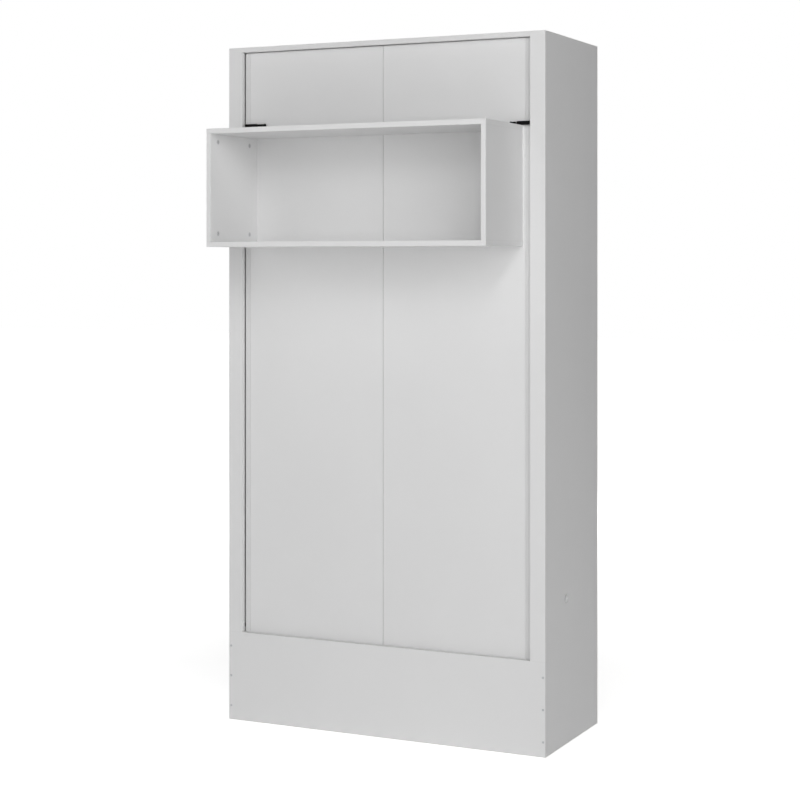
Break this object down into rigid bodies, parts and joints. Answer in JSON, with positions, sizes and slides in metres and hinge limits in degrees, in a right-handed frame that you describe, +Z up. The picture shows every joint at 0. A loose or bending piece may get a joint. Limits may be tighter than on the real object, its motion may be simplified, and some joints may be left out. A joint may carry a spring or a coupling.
{
  "type": "murphy wall bed",
  "caption": "Upright twin wall bed that folds down out of a tall white cabinet; an open shelf box on its underside becomes the leg, with gas struts and slide bolts.",
  "frame": {"origin": "centre of the object's footprint on the floor, with the bed stored upright and the shelf box in front of it", "axes": "+Z up, -Y is the door side, +Y is the wall side, +X is the right-hand side for a person facing the door"},
  "size_m": [1.134, 0.758, 2.25],
  "materials": {
    "white_board": "white melamine, matt with a faint emboss",
    "slat_timber": "planed pine, uncoated",
    "dowel_wood": "fluted beech",
    "zinc_steel": "zinc plated",
    "cam_metal": "die-cast zinc",
    "nylon": "natural nylon",
    "strut_black": "black powder coat",
    "strut_chrome": "hard chrome",
    "latch_black": "black lacquer",
    "webbing": "woven elastic webbing",
    "white_plastic": "satin"
  },
  "bodies": {
    "cabinet": {"bottom_rear_rail": "white_board", "cabinet_cam_locks": "cam_metal", "front_stretcher": "white_board", "headboard_panel": "white_board", "hinge_plate_left": "zinc_steel", "hinge_plate_right": "zinc_steel", "hinge_plate_screws": "zinc_steel", "pivot_bolt_left": "zinc_steel", "pivot_bolt_right": "zinc_steel", "plinth_board": "white_board", "plinth_screws": "zinc_steel", "side_panel_left": "white_board", "side_panel_right": "white_board", "side_screw_caps": "white_plastic", "stile_dowels": "dowel_wood", "stile_left": "white_board", "stile_right": "white_board", "top_panel": "white_board", "top_rear_rail": "white_board"},
    "bed": {"bed_foot_rail": "white_board", "bed_head_rail": "white_board", "bed_plate_left": "zinc_steel", "bed_plate_right": "zinc_steel", "bed_plate_screws": "zinc_steel", "bed_rail_left": "white_board", "bed_rail_right": "white_board", "corner_brackets": "zinc_steel", "door_panel_left": "white_board", "door_panel_right": "white_board", "latch_housing_left": "latch_black", "latch_housing_right": "latch_black", "mattress_strap_lower": "webbing", "mattress_strap_upper": "webbing", "pivot_bush_left": "nylon", "pivot_bush_right": "nylon", "seam_batten": "slat_timber", "shelf_bottom_board": "white_board", "shelf_cam_locks": "cam_metal", "shelf_fixing_screws": "zinc_steel", "shelf_side_left": "white_board", "shelf_side_right": "white_board", "shelf_top_board": "white_board", "slat_01": "slat_timber", "slat_02": "slat_timber", "slat_03": "slat_timber", "slat_04": "slat_timber", "slat_05": "slat_timber", "slat_06": "slat_timber", "slat_07": "slat_timber", "slat_08": "slat_timber", "slat_09": "slat_timber", "slat_10": "slat_timber", "slat_ledge_left": "slat_timber", "slat_ledge_right": "slat_timber"},
    "latch_bolt_left": {"latch_bolt_left": "latch_black"},
    "latch_bolt_right": {"latch_bolt_right": "latch_black"},
    "strut_cylinder_left": {"strut_cylinder_left": "strut_black"},
    "strut_cylinder_right": {"strut_cylinder_right": "strut_black"},
    "strut_rod_left": {"strut_rod_left": "strut_chrome"},
    "strut_rod_right": {"strut_rod_right": "strut_chrome"}
  },
  "joints": [
    {"name": "bed_fold", "type": "hinge", "parent": "cabinet", "child": "bed", "pos_m": [0, 0.084, 0.463], "axis": [1, 0, 0], "range_deg": [0, 90], "stiffness_Nm_per_rad": 150, "springref_deg": -51.57},
    {"name": "strut_cylinder_left_turn", "type": "hinge", "parent": "cabinet", "child": "strut_cylinder_left", "pos_m": [-0.532, 0.25078, 0.57339], "axis": [1, 0, 0], "range_deg": [0, 45]},
    {"name": "strut_rod_left_turn", "type": "hinge", "parent": "bed", "child": "strut_rod_left", "pos_m": [-0.532, -0.04589, 0.31092], "axis": [1, 0, 0], "range_deg": [-45, 0]},
    {"name": "latch_left_slide", "type": "slide", "parent": "bed", "child": "latch_bolt_left", "axis": [-1, 0, 0], "range_m": [0, 0.024]},
    {"name": "strut_cylinder_right_turn", "type": "hinge", "parent": "cabinet", "child": "strut_cylinder_right", "pos_m": [0.532, 0.25078, 0.57339], "axis": [1, 0, 0], "range_deg": [0, 45]},
    {"name": "strut_rod_right_turn", "type": "hinge", "parent": "bed", "child": "strut_rod_right", "pos_m": [0.532, -0.04589, 0.31092], "axis": [1, 0, 0], "range_deg": [-45, 0]},
    {"name": "latch_right_slide", "type": "slide", "parent": "bed", "child": "latch_bolt_right", "axis": [1, 0, 0], "range_m": [-0.012, 0.014]}
  ],
  "couplings": [
    {"joint": "strut_cylinder_left_turn", "follows": "bed_fold", "ratio": 0.5},
    {"joint": "strut_rod_left_turn", "follows": "bed_fold", "ratio": -0.5},
    {"joint": "strut_cylinder_right_turn", "follows": "bed_fold", "ratio": 0.5},
    {"joint": "strut_rod_right_turn", "follows": "bed_fold", "ratio": -0.5}
  ]
}
